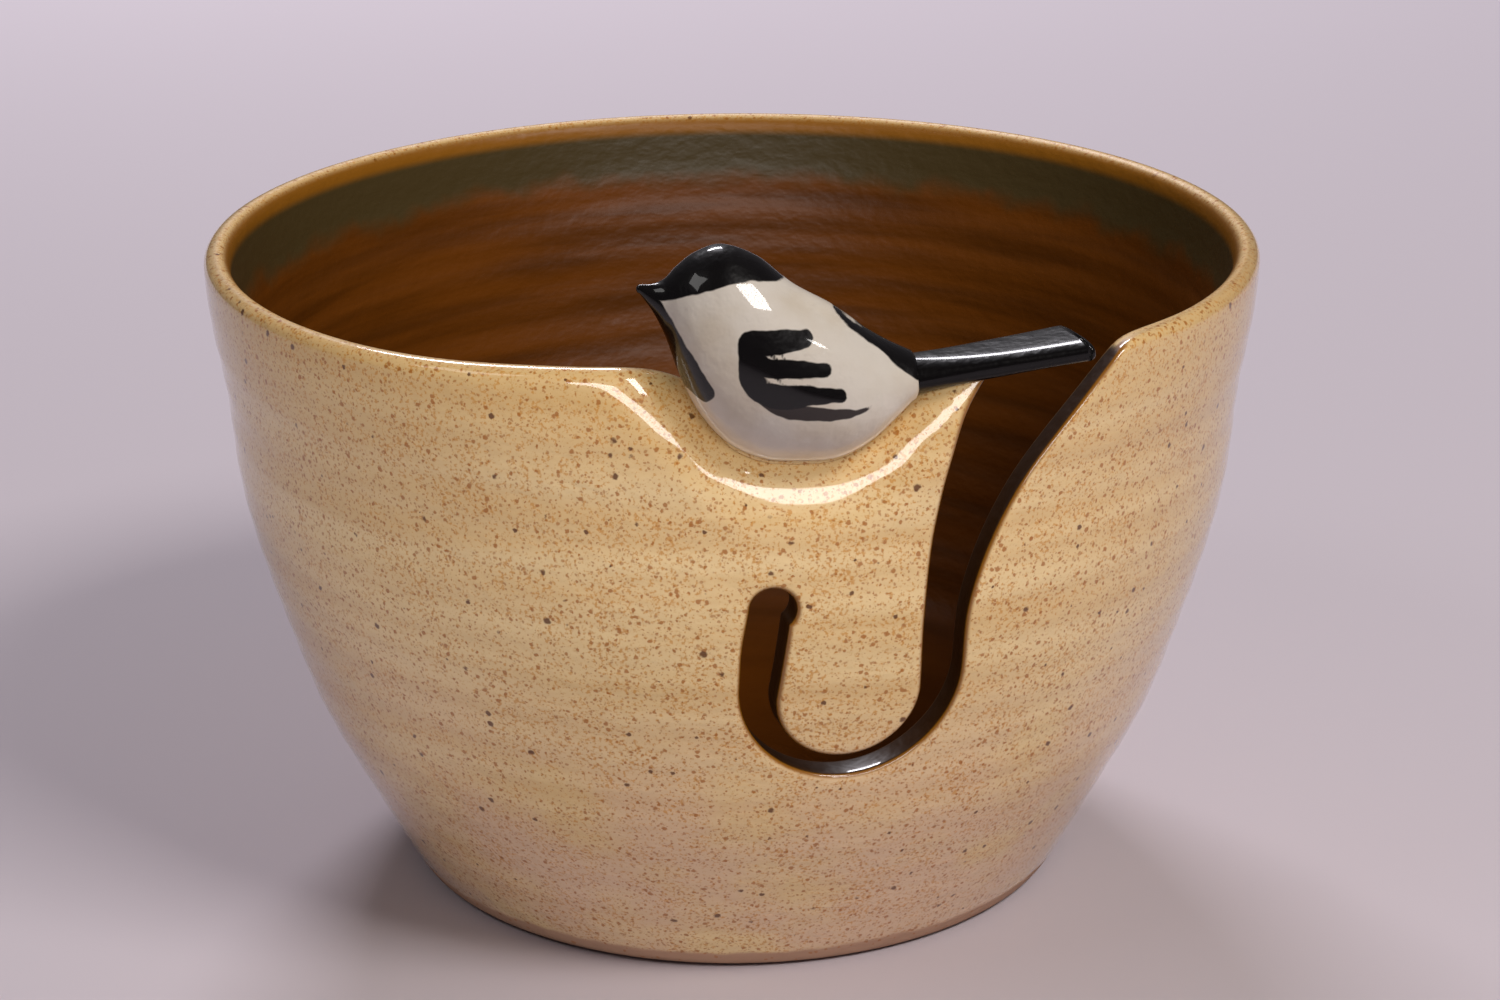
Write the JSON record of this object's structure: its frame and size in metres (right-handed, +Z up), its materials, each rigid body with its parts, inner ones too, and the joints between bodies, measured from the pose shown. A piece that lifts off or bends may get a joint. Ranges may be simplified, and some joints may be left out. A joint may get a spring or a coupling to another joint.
{
  "type": "yarn bowl",
  "caption": "Wheel-thrown stoneware yarn bowl with a J-shaped yarn slot open at the rim and a hand-modelled bird luted into a dish in the rim beside it.",
  "frame": {"origin": "centre of the foot, on the table", "axes": "+Z up, -Y out through the yarn slot, +X to the right of someone facing the slot"},
  "size_m": [0.1612, 0.1632, 0.1177],
  "materials": {
    "speckled_stoneware": "glossy speckled oatmeal glaze outside, amber brown inside, bare clay at the foot",
    "bird_glaze": "glossy white glaze with black painted cap, bib and wing",
    "black_glaze": "glossy black glaze"
  },
  "bodies": {
    "root": {"thrown_bowl": "speckled_stoneware", "bird_body": "bird_glaze", "bird_tail": "black_glaze", "luting_bead": "speckled_stoneware"}
  },
  "joints": []
}
